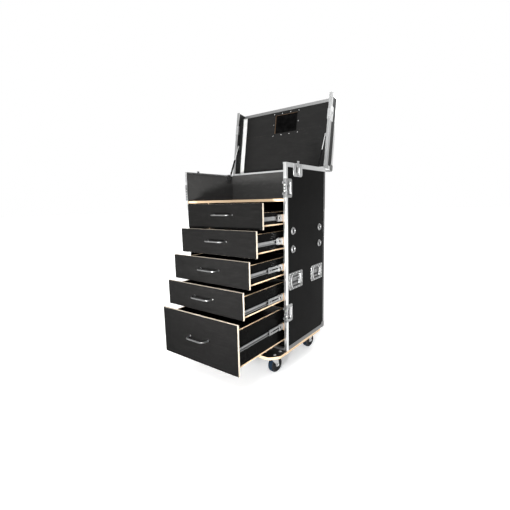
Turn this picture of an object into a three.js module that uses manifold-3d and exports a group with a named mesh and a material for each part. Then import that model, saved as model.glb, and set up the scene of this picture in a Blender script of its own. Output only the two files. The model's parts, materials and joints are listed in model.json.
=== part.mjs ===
// Five-drawer equipment road case on swivel castors, drawers part open and the lid raised.
// Millimetres, +Z up. +Y runs from the drawer fronts to the back, +X is the right-hand side.
import * as THREE from 'three';
import { mergeVertices } from 'three/addons/utils/BufferGeometryUtils.js';
import Module from 'manifold-3d';

const wasm = await Module();
wasm.setup();

// ---------------------------------------------------------------- driving dimensions
const GAP = 0.3;                 // clearance between touching pieces
const CASE_W = 914;              // outside width over the aluminium edges
const CASE_D = 560;
const CASE_H = 1230;             // carcass, from the castor board to the top rim
const PLY = 12;                  // carcass panels
const ALU = 1.7;                 // edge angle wall
const FRONT_LEG = 20;            // edge angle legs at the front corners
const REAR_LEG = 25;             // and at the rear corners
const RIM_DEPTH = 28;            // leg of the rim round the top

const WHEEL_R = 54;
const WHEEL_W = 36;
const CASTOR_H = 129;
const BOARD_T = 18;
const BOARD_FRONT = 145;         // the board stands this far in front of the carcass
const BOARD_CHAMFER_X = 50;
const BOARD_CHAMFER_Y = 60;
const FLOOR_TO_CASE = CASTOR_H + BOARD_T;

const TRAY_FLOOR_Z = 991.3;      // underside, above the castor board
const TRAY_FLOOR_T = 17.7;

const DRAWER_CENTRE_X = 104.9;   // the drawer stack stands right of centre, beside an open bay
const FRONT_W = 634.5;
const FRONT_T = 13;
const BOX_W = 604;
const BOX_LENGTH = 500;
const BOX_PLY = 12;
const BOX_BOTTOM_T = 9;
const HANDLE_RISE = 8;           // handles sit a little above the middle of each front
const HANDLE_OFFSET_X = 7;

// One row per drawer, from the top. Heights are above the castor board. out is how far
// the front stands in front of the carcass. slide is the height of the runner's centre line
// and runner is the y of the moving runner's front end.
const DRAWERS = [
  { top: 984, bottom: 827, boxTop: 927, boxBottom: 844, slide: 888, out: 207, runner: -38 },
  { top: 825, bottom: 665, boxTop: 803, boxBottom: 685, slide: 741, out: 274, runner: -55 },
  { top: 656, bottom: 495, boxTop: 630, boxBottom: 509, slide: 570, out: 348, runner: -148 },
  { top: 492, bottom: 331.5, boxTop: 461, boxBottom: 335, slide: 371, out: 410, runner: -153 },
  { top: 321, bottom: 14.5, boxTop: 281, boxBottom: 54, slide: 168, out: 464, runner: -147 },
];

const RUNNER_H = 30;
const RUNNER_T = 6;
const RUNNER_WALL = 2;
const RUNNER_LENGTH = 440;
const SLIDE_SPACE = 12.7;        // between the drawer box and whatever carries the runner

const LID_H = 110;
const LID_FRONT = 6.7;           // the closed lid overhangs the carcass front by this much
const LID_OPEN = THREE.MathUtils.degToRad(99.24);
const HINGE_Y = CASE_D + 5;
const HINGE_Z = CASE_H - 5;

const POCKET_DEPTH = 9;          // recesses for the dished fittings
const HANDLE_POCKET = { y: 136, z: 96 };
const SIDE_HANDLES = [{ name: 'front', y: 123 }, { name: 'rear', y: 430 }];
const SIDE_HANDLE_Z = 468;
const LATCH_POCKET = { y: 52, z: 78 };
const LATCHES = [
  { name: 'cover_latch_upper', y: 33, z: 1073 },
  { name: 'cover_latch_lower', y: 33, z: 260 },
  { name: 'lid_latch', y: 146, z: 1189 },
];

const SPRING_X = 424;
const SPRING_FOOT = { y: 504, z: 1229 };
const SPRING_HEAD = { y: 621, z: 1482 };
const CYLINDER_R = 7.5;
const CYLINDER_LENGTH = 150;
const ROD_R = 3.5;

const CASTOR_X = 378;
const CASTOR_FRONT_Y = -56;
const CASTOR_REAR_Y = 471;
const CASTOR_TRAIL = 22;
const CASTOR_TURN = THREE.MathUtils.degToRad(8);

// ---------------------------------------------------------------- materials
const material = (color, roughness, metalness) =>
  new THREE.MeshStandardMaterial({ color, roughness, metalness });
const BLACK_PLY = () => material(0x1d1c1b, 0.5, 0);
const RAW_PLY = () => material(0xd9b98c, 0.7, 0);
const ALUMINIUM = () => material(0xc4c6c4, 0.35, 0.9);
const STEEL = () => material(0xb4b8ba, 0.3, 0.9);
const BLACK_STEEL = () => material(0x2a2b2c, 0.35, 0.6);
const BLUE_TYRE = () => material(0x1d4a86, 0.55, 0);

// ---------------------------------------------------------------- geometry helpers
const toSolid = (geometry) => {
  const bare = geometry.clone();
  bare.deleteAttribute('normal');
  bare.deleteAttribute('uv');
  const merged = mergeVertices(bare, 1e-4);
  const vertProperties = new Float32Array(merged.attributes.position.array);
  const triVerts = new Uint32Array(merged.index.array);
  return new wasm.Manifold(new wasm.Mesh({ numProp: 3, vertProperties, triVerts }));
};

const toGeometry = (solid) => {
  const mesh = solid.getMesh();
  const geometry = new THREE.BufferGeometry();
  geometry.setAttribute('position', new THREE.BufferAttribute(mesh.vertProperties, 3));
  geometry.setIndex(new THREE.BufferAttribute(mesh.triVerts, 1));
  geometry.computeVertexNormals();
  return geometry;
};

const box = (x, y, z) => {
  const geometry = new THREE.BoxGeometry(x[1] - x[0], y[1] - y[0], z[1] - z[0]);
  return geometry.translate((x[0] + x[1]) / 2, (y[0] + y[1]) / 2, (z[0] + z[1]) / 2);
};
const boxSolid = (x, y, z) => toSolid(box(x, y, z));
const around = (centre, size) => [centre - size / 2, centre + size / 2];

// A closed outline in the YZ plane, extruded along +X from x0 to x1.
const extrudeAlongX = (points, x0, x1) => {
  const shape = new THREE.Shape(points.map(([y, z]) => new THREE.Vector2(y, z)));
  const geometry = new THREE.ExtrudeGeometry(shape, { depth: x1 - x0, bevelEnabled: false });
  geometry.rotateX(Math.PI / 2);
  geometry.rotateZ(Math.PI / 2);
  return geometry.translate(x0, 0, 0);
};

const cylinderAlongX = (radius, x0, x1, y, z, segments = 24) => {
  const geometry = new THREE.CylinderGeometry(radius, radius, x1 - x0, segments);
  geometry.rotateZ(Math.PI / 2);
  return geometry.translate((x0 + x1) / 2, y, z);
};

// side is +1 on the right and -1 on the left: the range runs outwards from inner to outer.
const sideRange = (side, inner, outer) => (side > 0 ? [inner, outer] : [-outer, -inner]);

const road = new THREE.Group();
const add = (parent, name, geometry, finish) => {
  const mesh = new THREE.Mesh(geometry, finish);
  mesh.name = name;
  parent.add(mesh);
  return mesh;
};
const SIDES = [{ name: 'left', sign: -1 }, { name: 'right', sign: 1 }];

// ---------------------------------------------------------------- carcass
const SKIN = CASE_W / 2 - ALU - GAP;         // outer face of the side panels
const INNER = SKIN - PLY;                    // inner face of the side panels
const BACK_IN = CASE_D - ALU - GAP - PLY;    // inner face of the back panel
const RIM_Z = CASE_H - RIM_DEPTH;            // lower edge of the top rim

const carcass = new THREE.Group();
carcass.position.z = FLOOR_TO_CASE;
road.add(carcass);

function castorBoard() {
  const half = CASE_W / 2;
  const front = -BOARD_FRONT;
  const cx = BOARD_CHAMFER_X;
  const cy = BOARD_CHAMFER_Y;
  const outline = [
    [-half + cx, front], [half - cx, front], [half, front + cy], [half, CASE_D - cy],
    [half - cx, CASE_D], [-half + cx, CASE_D], [-half, CASE_D - cy], [-half, front + cy],
  ];
  const shape = new THREE.Shape(outline.map(([x, y]) => new THREE.Vector2(x, y)));
  const board = new THREE.ExtrudeGeometry(shape, { depth: BOARD_T, bevelEnabled: false });
  add(carcass, 'castor_board', board.translate(0, 0, -BOARD_T), RAW_PLY());
}

// Recesses let the latch and handle dishes into the panel and through the edge angles.
function recesses(side, extra = 0) {
  const depth = sideRange(side, SKIN - POCKET_DEPTH, CASE_W / 2 + 5);
  const cuts = SIDE_HANDLES.map((handle) =>
    boxSolid(depth, around(handle.y, HANDLE_POCKET.y), around(SIDE_HANDLE_Z, HANDLE_POCKET.z)));
  for (const latch of LATCHES) {
    const y = around(latch.y, LATCH_POCKET.y + extra);
    cuts.push(boxSolid(depth, y, around(latch.z, LATCH_POCKET.z + extra)));
  }
  return cuts;
}
const cutAll = (solid, cuts) => cuts.reduce((left, cut) => left.subtract(cut), solid);

function sidePanel({ name, sign }) {
  const panel = boxSolid(
    sideRange(sign, INNER, SKIN),
    [ALU + GAP, CASE_D - ALU - GAP],
    [ALU + GAP, CASE_H - ALU - GAP],
  );
  add(carcass, `${name}_side_panel`, toGeometry(cutAll(panel, recesses(sign))), BLACK_PLY());
}

function edgeAngle({ name, sign }, end) {
  const front = end === 'front';
  const faceY = front ? [0, ALU] : [CASE_D - ALU, CASE_D];
  const legY = front ? [0, FRONT_LEG] : [CASE_D - REAR_LEG, CASE_D];
  const legX = sideRange(sign, CASE_W / 2 - (front ? FRONT_LEG : REAR_LEG), CASE_W / 2);
  const top = front ? CASE_H : RIM_Z - GAP;
  const face = boxSolid(legX, faceY, [GAP, top]);
  const leg = boxSolid(sideRange(sign, CASE_W / 2 - ALU, CASE_W / 2), legY, [GAP, RIM_Z - GAP]);
  const angle = front ? cutAll(face.add(leg), recesses(sign, 1)) : face.add(leg);
  add(carcass, `${name}_${end}_edge_angle`, toGeometry(angle), ALUMINIUM());
}

// The rim caps the side and back panels; it is open at the front like the tray it surrounds.
function topRim() {
  const start = ALU + GAP;
  const capZ = [CASE_H - ALU, CASE_H];
  const legZ = [RIM_Z, CASE_H];
  const half = CASE_W / 2;
  let rim = boxSolid([-half, half], [BACK_IN, CASE_D], capZ)
    .add(boxSolid([-half, half], [CASE_D - ALU, CASE_D], legZ));
  for (const { sign } of SIDES) {
    rim = rim
      .add(boxSolid(sideRange(sign, INNER, half), [start, CASE_D], capZ))
      .add(boxSolid(sideRange(sign, half - ALU, half), [start, CASE_D], legZ));
    const cut = LATCHES[2];
    const notchZ = [cut.z - LATCH_POCKET.z / 2, CASE_H - 2 * ALU];
    rim = rim.subtract(boxSolid(sideRange(sign, half - 2 * ALU, half + 5),
      around(cut.y, LATCH_POCKET.y), notchZ));
  }
  add(carcass, 'top_rim', toGeometry(rim), ALUMINIUM());
}

function innerPanels() {
  const across = [-INNER + GAP, INNER - GAP];
  const baseTop = PLY + GAP;
  add(carcass, 'base_panel', box(across, [ALU + GAP, BACK_IN - GAP], [GAP, baseTop]), BLACK_PLY());
  add(carcass, 'back_panel',
    box(across, [BACK_IN, BACK_IN + PLY], [GAP, CASE_H - ALU - GAP]), BLACK_PLY());
  add(carcass, 'tray_floor',
    box(across, [8, BACK_IN - GAP], [TRAY_FLOOR_Z, TRAY_FLOOR_Z + TRAY_FLOOR_T]), BLACK_PLY());
  const right = DRAWER_CENTRE_X - BOX_W / 2 - SLIDE_SPACE;
  add(carcass, 'bay_divider',
    box([right - PLY, right], [0, BACK_IN - GAP], [baseTop + GAP, TRAY_FLOOR_Z - GAP]),
    BLACK_PLY());
}

// ---------------------------------------------------------------- drawers
function drawerBox(drawer) {
  const x = around(DRAWER_CENTRE_X, BOX_W);
  const y0 = FRONT_T + GAP - drawer.out;
  const y = [y0, y0 + BOX_LENGTH];
  const hollow = boxSolid(
    [x[0] + BOX_PLY, x[1] - BOX_PLY],
    [y[0] + BOX_PLY, y[1] - BOX_PLY],
    [drawer.boxBottom + BOX_BOTTOM_T, drawer.boxTop + 1],
  );
  return toGeometry(boxSolid(x, y, [drawer.boxBottom, drawer.boxTop]).subtract(hollow));
}

// A bow handle of round bar: two splayed legs and a straight grip.
const GRIP_HALF = 66;
const FOOT_HALF = 77;
const HANDLE_REACH = 46;
const HANDLE_R = 4.5;
function bowHandle() {
  const section = new THREE.Shape();
  section.absarc(0, 0, HANDLE_R, 0, Math.PI * 2);
  const corner = (x, y) => new THREE.Vector3(x, y, 0);
  const path = new THREE.CurvePath();
  const leftTop = corner(-GRIP_HALF - 3, -HANDLE_REACH + 14);
  const rightTop = corner(GRIP_HALF + 3, -HANDLE_REACH + 14);
  const leftGrip = corner(-GRIP_HALF + 10, -HANDLE_REACH);
  const rightGrip = corner(GRIP_HALF - 10, -HANDLE_REACH);
  path.add(new THREE.LineCurve3(corner(-FOOT_HALF, -GAP), leftTop));
  path.add(new THREE.QuadraticBezierCurve3(leftTop, corner(-GRIP_HALF, -HANDLE_REACH), leftGrip));
  path.add(new THREE.LineCurve3(leftGrip, rightGrip));
  path.add(new THREE.QuadraticBezierCurve3(rightGrip, corner(GRIP_HALF, -HANDLE_REACH), rightTop));
  path.add(new THREE.LineCurve3(rightTop, corner(FOOT_HALF, -GAP)));
  const bar = new THREE.ExtrudeGeometry(section,
    { extrudePath: path, steps: 26, curveSegments: 5, bevelEnabled: false });
  const wall = box([-200, 200], [-GAP, 50], [-50, 50]);
  return toGeometry(toSolid(bar).subtract(toSolid(wall)));
}

function runner(drawer, side) {
  const drawerSide = DRAWER_CENTRE_X + side * BOX_W / 2;
  const inner = drawerSide + side * (SLIDE_SPACE - RUNNER_T) / 2;
  const outer = inner + side * RUNNER_T;
  const web = inner + side * RUNNER_WALL;
  const half = RUNNER_H / 2;
  const shape = new THREE.Shape();
  shape.moveTo(inner, -half);
  shape.lineTo(outer, -half);
  shape.lineTo(outer, -half + RUNNER_WALL);
  shape.lineTo(web, -half + RUNNER_WALL);
  shape.lineTo(web, half - RUNNER_WALL);
  shape.lineTo(outer, half - RUNNER_WALL);
  shape.lineTo(outer, half);
  shape.lineTo(inner, half);
  shape.closePath();
  const geometry = new THREE.ExtrudeGeometry(shape, { depth: RUNNER_LENGTH, bevelEnabled: false });
  geometry.rotateX(Math.PI / 2);
  return geometry.translate(0, drawer.runner + RUNNER_LENGTH, drawer.slide);
}

function drawers() {
  DRAWERS.forEach((drawer, index) => {
    const id = `drawer_${index + 1}`;
    const y = [-drawer.out, FRONT_T - drawer.out];
    add(carcass, `${id}_front`,
      box(around(DRAWER_CENTRE_X, FRONT_W), y, [drawer.bottom, drawer.top]), BLACK_PLY());
    add(carcass, `${id}_box`, drawerBox(drawer), BLACK_PLY());
    const handle = add(carcass, `${id}_handle`, bowHandle(), STEEL());
    const middle = (drawer.top + drawer.bottom) / 2 + HANDLE_RISE;
    handle.position.set(DRAWER_CENTRE_X + HANDLE_OFFSET_X, -drawer.out, middle);
    for (const { name, sign } of SIDES) {
      add(carcass, `${id}_runner_${name}`, runner(drawer, sign), STEEL());
    }
  });
}

// ---------------------------------------------------------------- side fittings
// The bail is a flat U: two legs hang from the pivots and a grip joins them below.
const BAIL = { width: 108, drop: 44, bar: 9, overPivot: 2, pivotRise: 22, thick: 7 };
function bail(sign) {
  const half = BAIL.width / 2;
  const inner = half - BAIL.bar;
  const top = BAIL.overPivot;
  const low = -BAIL.drop;
  const outline = [
    [-half, top], [-half, low], [half, low], [half, top],
    [inner, top], [inner, low + BAIL.bar], [-inner, low + BAIL.bar], [-inner, top],
  ];
  const x = sideRange(sign, SKIN - POCKET_DEPTH + 1, SKIN - POCKET_DEPTH + 1 + BAIL.thick);
  return extrudeAlongX(outline, x[0], x[1]);
}

// A twist latch: a round plate with two raised wings.
const LATCH = { plateR: 21, plateT: 2.5, wingLong: 38, wingWide: 9, wingT: 4.5 };
function twistLatch(sign) {
  const floor = SKIN - POCKET_DEPTH + GAP;
  const plate = sideRange(sign, floor, floor + LATCH.plateT);
  const wing = sideRange(sign, floor + LATCH.plateT - 1, floor + LATCH.plateT + LATCH.wingT);
  const disc = toSolid(cylinderAlongX(LATCH.plateR, plate[0], plate[1], 0, 0));
  return toGeometry(disc.add(
    boxSolid(wing, around(0, LATCH.wingWide), around(0, LATCH.wingLong))));
}

function sideFittings({ name, sign }) {
  for (const spot of SIDE_HANDLES) {
    const handle = add(carcass, `${name}_${spot.name}_bail_handle`, bail(sign), STEEL());
    handle.position.set(0, spot.y, SIDE_HANDLE_Z + BAIL.pivotRise);
  }
  for (const spot of LATCHES) {
    const latch = add(carcass, `${name}_${spot.name}`, twistLatch(sign), STEEL());
    latch.position.set(0, spot.y, spot.z);
  }
}

// ---------------------------------------------------------------- lid
// Drawn closed around its hinge line, then swung open as one group. The label window is cut
// through the plywood from inside, down to the thin dish that closes it.
const LABEL_X = [-98.6, 115];
const LABEL_Y = [52, 206];
const LABEL_DISH_T = 2;
function lid() {
  const swing = new THREE.Group();
  swing.position.set(0, HINGE_Y, HINGE_Z);
  swing.rotation.x = -LID_OPEN;
  carcass.add(swing);
  const front = -LID_FRONT + ALU + GAP;
  const back = CASE_D - ALU - GAP;
  const bottom = CASE_H + GAP;
  const top = CASE_H + LID_H - ALU - GAP;
  const shell = boxSolid([-SKIN, SKIN], [front, back], [bottom, top])
    .subtract(boxSolid([-INNER, INNER], [front - 1, back - PLY], [bottom - 1, top - PLY]))
    .subtract(boxSolid(LABEL_X, [LABEL_Y[0] - LID_FRONT, LABEL_Y[1] - LID_FRONT],
      [top - PLY - 1, top - LABEL_DISH_T]));
  const geometry = toGeometry(shell).translate(0, -HINGE_Y, -HINGE_Z);
  add(swing, 'lid_shell', geometry, BLACK_PLY());
}

// A gas spring each side: the cylinder pivots on the case, the rod slides in it.
function gasSprings() {
  const rise = SPRING_HEAD.z - SPRING_FOOT.z;
  const run = SPRING_HEAD.y - SPRING_FOOT.y;
  const length = Math.hypot(rise, run);
  const bore = ROD_R + 0.5;
  const cylinder = [
    [0, -8], [CYLINDER_R, -8], [CYLINDER_R, CYLINDER_LENGTH], [bore, CYLINDER_LENGTH],
    [bore, 25], [0, 25],
  ].map(([r, h]) => new THREE.Vector2(r, h));
  const rodStart = CYLINDER_LENGTH - 22;
  const rod = [
    [0, rodStart], [ROD_R, rodStart], [ROD_R, length - 14], [6.5, length - 12],
    [6.5, length + 6], [0, length + 6],
  ].map(([r, h]) => new THREE.Vector2(r, h));
  for (const { name, sign } of SIDES) {
    const spring = new THREE.Group();
    spring.position.set(sign * SPRING_X, SPRING_FOOT.y, SPRING_FOOT.z);
    spring.rotation.x = Math.atan2(rise, run);
    carcass.add(spring);
    add(spring, `${name}_gas_cylinder`, new THREE.LatheGeometry(cylinder, 16), BLACK_STEEL());
    add(spring, `${name}_gas_rod`, new THREE.LatheGeometry(rod, 16), STEEL());
  }
}

// ---------------------------------------------------------------- castors
// The swivel axis is the group's Z axis and the wheel rolls along its Y axis.
const FORK_PLATE = 3;
const FORK_HALF = WHEEL_W / 2 + 2;
const AXLE_R = 6;
const CROWN_Z = 2 * WHEEL_R + 2;
const CASTOR_PLATE = 4;
function castorFork(trail) {
  const lean = Math.sign(trail);
  const cheek = [
    [-30 * lean, CROWN_Z + FORK_PLATE], [-30 * lean, CROWN_Z - 6],
    [trail - 13 * lean, WHEEL_R], [trail - 6 * lean, WHEEL_R - 12],
    [trail + 6 * lean, WHEEL_R - 12], [trail + 13 * lean, WHEEL_R],
    [30 * lean, CROWN_Z - 6], [30 * lean, CROWN_Z + FORK_PLATE],
  ];
  const outline = lean > 0 ? cheek : [...cheek].reverse();
  const outer = FORK_HALF + FORK_PLATE;
  const head = new THREE.CylinderGeometry(29, 32, CASTOR_H - CASTOR_PLATE - GAP - CROWN_Z, 24);
  head.rotateX(Math.PI / 2);
  head.translate(0, 0, (CASTOR_H - CASTOR_PLATE - GAP + CROWN_Z) / 2);
  return toGeometry(toSolid(head)
    .add(boxSolid([-outer, outer], [-30, 30], [CROWN_Z, CROWN_Z + FORK_PLATE]))
    .add(toSolid(extrudeAlongX(outline, -outer, -FORK_HALF)))
    .add(toSolid(extrudeAlongX(outline, FORK_HALF, outer)))
    .add(toSolid(cylinderAlongX(AXLE_R, -outer - 3, outer + 3, trail, WHEEL_R, 16))));
}

function castorWheel() {
  const half = WHEEL_W / 2;
  const bore = AXLE_R + 0.5;
  const profile = [
    [bore, -half - 1], [14, -half - 1], [14, -half + 4], [WHEEL_R - 14, -half + 4],
    [WHEEL_R - 11, -half], [WHEEL_R - 5, -half], [WHEEL_R, -half + 7], [WHEEL_R, half - 7],
    [WHEEL_R - 5, half], [WHEEL_R - 11, half], [WHEEL_R - 14, half - 4], [14, half - 4],
    [14, half + 1], [bore, half + 1], [bore, -half - 1],
  ].map(([r, h]) => new THREE.Vector2(r, h));
  return new THREE.LatheGeometry(profile, 32).rotateZ(Math.PI / 2);
}

function castors() {
  for (const { name, sign } of SIDES) {
    for (const end of ['front', 'rear']) {
      const front = end === 'front';
      const trail = front ? CASTOR_TRAIL : -CASTOR_TRAIL;
      const castor = new THREE.Group();
      castor.position.set(sign * CASTOR_X, front ? CASTOR_FRONT_Y : CASTOR_REAR_Y, 0);
      castor.rotation.z = -CASTOR_TURN;
      road.add(castor);
      add(castor, `castor_fork_${end}_${name}`, castorFork(trail), STEEL());
      const wheel = add(castor, `castor_wheel_${end}_${name}`, castorWheel(), BLUE_TYRE());
      wheel.position.set(0, trail, WHEEL_R);
    }
  }
}

// ---------------------------------------------------------------- assembly
castorBoard();
SIDES.forEach(sidePanel);
for (const side of SIDES) {
  edgeAngle(side, 'front');
  edgeAngle(side, 'rear');
}
topRim();
innerPanels();
drawers();
SIDES.forEach(sideFittings);
lid();
gasSprings();
castors();

// The origin is on the floor, under the middle of the whole object as it stands.
road.updateMatrixWorld(true);
const bounds = new THREE.Box3().setFromObject(road, true);
road.position.y = -(bounds.min.y + bounds.max.y) / 2;

export default road;
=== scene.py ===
"""A tall drawer flight case on swivel castors, with five drawers part open and the lid raised.

Pieces are drawn in case millimetres: x from the middle of the case, y back from the carcass front,
z up from the top of the castor board. What both sides have is drawn for the right side and mirrored
for the left. The lid's pieces are drawn with the lid closed and swung open.
"""

import json
import math
from itertools import product

import bpy
import bmesh
from mathutils import Matrix, Vector


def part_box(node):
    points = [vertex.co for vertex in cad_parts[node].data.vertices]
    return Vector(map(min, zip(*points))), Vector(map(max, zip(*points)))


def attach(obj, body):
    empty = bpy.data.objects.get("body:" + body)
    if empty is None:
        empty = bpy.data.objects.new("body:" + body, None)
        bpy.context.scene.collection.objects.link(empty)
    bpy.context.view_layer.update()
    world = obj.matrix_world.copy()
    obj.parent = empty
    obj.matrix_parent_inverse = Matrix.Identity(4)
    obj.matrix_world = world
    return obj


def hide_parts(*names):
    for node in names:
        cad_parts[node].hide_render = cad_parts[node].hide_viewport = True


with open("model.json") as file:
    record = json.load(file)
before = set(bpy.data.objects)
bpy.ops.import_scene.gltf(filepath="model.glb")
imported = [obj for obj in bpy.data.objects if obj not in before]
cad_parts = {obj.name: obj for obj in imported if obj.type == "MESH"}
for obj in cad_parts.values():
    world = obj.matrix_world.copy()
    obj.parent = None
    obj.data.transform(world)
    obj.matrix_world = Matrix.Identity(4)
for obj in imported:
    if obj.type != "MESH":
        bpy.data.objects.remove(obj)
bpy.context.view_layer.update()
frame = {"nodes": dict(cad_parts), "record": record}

# ---- places taken from the frame
MM = 0.001
JOINTS = {joint["name"]: joint for joint in frame["record"]["behaviour"]["joints"]}
FRONT_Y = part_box("right_front_edge_angle")[0].y
BASE_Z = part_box("castor_board")[1].z


def row(x, y, z):
    """A point in case millimetres as a point in the row frame."""
    return Vector((x * MM, FRONT_Y + y * MM, BASE_Z + z * MM))


def span(node):
    """A CAD node's x, y and z ranges in case millimetres."""
    low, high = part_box(node)
    origin = row(0, 0, 0)
    return [tuple((corner[i] - origin[i]) / MM for corner in (low, high)) for i in range(3)]


def joint_at(name):
    """A joint's place in case millimetres."""
    return (Vector(JOINTS[name]["pos_m"]) - row(0, 0, 0)) / MM


HALF_W = span("castor_board")[0][1]
INNER, SKIN = span("right_side_panel")[0]
DEPTH, HEIGHT = (reach[1] for reach in span("top_rim")[1:])
BACK_IN = span("back_panel")[1][0]
BOARD_T = -span("castor_board")[2][0]
TRAY_Z = span("tray_floor")[2]
FLOOR_Z = -BASE_Z / MM

HINGE = Vector(JOINTS["lid_hinge"]["pos_m"])
LID_OPEN = math.radians(JOINTS["lid_hinge"]["range_deg"][1])
_, HINGE_Y, HINGE_Z = joint_at("lid_hinge")
LID_TOP = HEIGHT + 110
LID_FRONT = -6.7
LID_SWING = Matrix.Translation(HINGE) @ Matrix.Rotation(-LID_OPEN, 4, "X") @ Matrix.Translation(-HINGE)

ALU = 1.7
FRONT_LEG = 20
REAR_LEG = 25
RIM_LEG = 28
LID_RIM_TALL = 26
SIDES = {"left": -1, "right": 1}
HANDLE_SPOTS = {"front": 123, "rear": 430}
HANDLE_Z = 468
COVER_LATCHES = {"cover_latch_upper": 1073, "cover_latch_lower": 260}
COVER_LATCH_Y = 33
LID_LATCH = (146, 1189)
LID_LATCH_POCKET, COVER_LATCH_POCKET = 52, 78
DRAWERS = range(1, 6)
OUT, BACK, UP, DOWN = (1, 0, 0), (0, 1, 0), (0, 0, 1), (0, 0, -1)

# ---- camera
CAMERA_AT = (1553.0, -1790.8, 991.2)
CAMERA_YAW, CAMERA_PITCH, CAMERA_ROLL = (math.radians(a) for a in (36.96, -9.06, -1.23))
CAMERA_LENS = 23.44


def make_camera():
    data = bpy.data.cameras.new("camera")
    data.lens = CAMERA_LENS
    data.sensor_width = 36
    camera = bpy.data.objects.new("camera", data)
    bpy.context.collection.objects.link(camera)
    level = Vector((math.cos(CAMERA_YAW), math.sin(CAMERA_YAW), 0))
    ahead = Vector((-level.y, level.x, 0))
    forward = ahead * math.cos(CAMERA_PITCH) + Vector(UP) * math.sin(CAMERA_PITCH)
    right = level * math.cos(CAMERA_ROLL) + level.cross(forward) * math.sin(CAMERA_ROLL)
    turn = Matrix((right, right.cross(forward), -forward)).transposed().to_4x4()
    camera.matrix_world = Matrix.Translation(row(*CAMERA_AT)) @ turn
    bpy.context.scene.camera = camera


make_camera()


# ---- materials
def add_node(tree, kind, **inputs):
    """A new shader node. An input takes a value or, where it is a socket, a link from it."""
    node = tree.nodes.new(f"ShaderNode{kind}")
    for name, value in inputs.items():
        socket = node.inputs[name.replace("_", " ")]
        if isinstance(value, bpy.types.NodeSocket):
            tree.links.new(value, socket)
        else:
            socket.default_value = value
    return node


class Nodes:
    """A Principled material with short ways to add texture nodes in object space."""

    def __init__(self, name, color, roughness, metallic=0.0, specular=0.5):
        self.material = bpy.data.materials.new(name)
        self.material.use_nodes = True
        self.tree = self.material.node_tree
        self.shader = self.tree.nodes["Principled BSDF"]
        for socket, value in (("Base Color", (*color, 1)), ("Roughness", roughness),
                              ("Metallic", metallic), ("Specular IOR Level", specular)):
            self.set(socket, value)
        self.place = add_node(self.tree, "TexCoord").outputs["Object"]

    def set(self, socket, value):
        self.shader.inputs[socket].default_value = value

    def link(self, output, socket):
        self.tree.links.new(output, self.shader.inputs[socket])

    def noise(self, scale=(1, 1, 1), size=100, detail=4, rough=0.6, warp=0.0):
        mapping = add_node(self.tree, "Mapping", Scale=scale, Vector=self.place)
        return add_node(self.tree, "TexNoise", Vector=mapping.outputs["Vector"], Scale=size,
                        Detail=detail, Roughness=rough, Distortion=warp).outputs["Fac"]

    def bands(self, axis, size, warp):
        node = add_node(self.tree, "TexWave", Vector=self.place, Scale=size, Distortion=warp, Detail=2)
        node.bands_direction = axis
        return node.outputs["Fac"]

    def ramp(self, value, *stops):
        node = add_node(self.tree, "ValToRGB", Fac=value)
        points = node.color_ramp.elements
        while len(points) < len(stops):
            points.new(0.5)
        for point, (at, color) in zip(points, stops):
            point.position = at
            point.color = (*color, 1)
        return node.outputs["Color"]

    def span(self, value, low, high, start=0.0, end=1.0):
        return add_node(self.tree, "MapRange", Value=value, From_Min=start, From_Max=end,
                        To_Min=low, To_Max=high).outputs["Result"]

    def mix(self, factor, a, b, mode="MIX"):
        node = add_node(self.tree, "Mix")
        node.data_type = "RGBA"
        node.blend_type = mode
        node.inputs[0].default_value = factor
        self.tree.links.new(a, node.inputs[6])
        self.tree.links.new(b, node.inputs[7])
        return node.outputs[2]

    def bump(self, height, strength, distance):
        node = add_node(self.tree, "Bump", Height=height, Strength=strength, Distance=distance)
        self.link(node.outputs["Normal"], "Normal")


def grey(value):
    return (value, value * 0.985, value * 0.96)


def film_ply(name, grain, polish=0.42, figured=1.0, sheen=0.12, light=0.9):
    """Black phenolic film over birch: faint grain showing through, soft cloudy sheen, fine dust."""
    film = Nodes(name, grey(0.014), polish, specular=sheen)
    figure = film.noise(grain, size=9, detail=8, warp=1.6)
    cloud = film.noise(size=4, detail=3)
    fleck = film.noise(size=700, detail=1)
    low, high = grey(0.0105 * light / figured), grey(0.0165 * light * figured)
    base = film.ramp(figure, (0.32, low), (0.5, grey(0.0125 * light)), (0.68, high))
    dusty = film.ramp(fleck, (0.70, (0, 0, 0)), (0.76, grey(0.03)))
    film.link(film.mix(1.0, base, dusty, "ADD"), "Base Color")
    film.link(film.span(cloud, polish - 0.07, polish + 0.09), "Roughness")
    film.bump(film.mix(0.3, figure, fleck), 0.08, 0.0005)
    return film.material


VENEER_PAIR = 0.0056


def ply_edge(name, axis, tones):
    """Plywood edge: veneers stacked along one axis, in dark, middle and light tones."""
    dark, middle, light = tones
    edge = Nodes(name, middle, 0.7)
    veneers = edge.bands(axis, 1 / (VENEER_PAIR * 3.1416), 0.6)
    fibre = edge.noise(size=420, detail=5)
    wood = edge.ramp(veneers, (0.2, dark), (0.5, middle), (0.9, light))
    edge.link(edge.mix(0.35, wood, edge.ramp(fibre, (0.3, dark), (0.65, light))), "Base Color")
    edge.bump(fibre, 0.25, 0.0005)
    return edge.material


def metal(name, tone, roughness, grain=(1, 1, 1), size=500, strength=0.05):
    """Bare metal with drawing lines or mottling along grain, and softly varying polish."""
    full = (tone, tone * 1.005, tone)
    alloy = Nodes(name, full, roughness, metallic=1.0)
    lines = alloy.noise(grain, size=size)
    smear = alloy.noise(size=18, detail=3)
    low = tuple(tone * k for k in (0.86, 0.87, 0.87))
    alloy.link(alloy.ramp(lines, (0.3, low), (0.7, full)), "Base Color")
    alloy.link(alloy.span(smear, roughness - 0.07, roughness + 0.09), "Roughness")
    alloy.bump(lines, strength, 0.0004)
    return alloy.material


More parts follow.
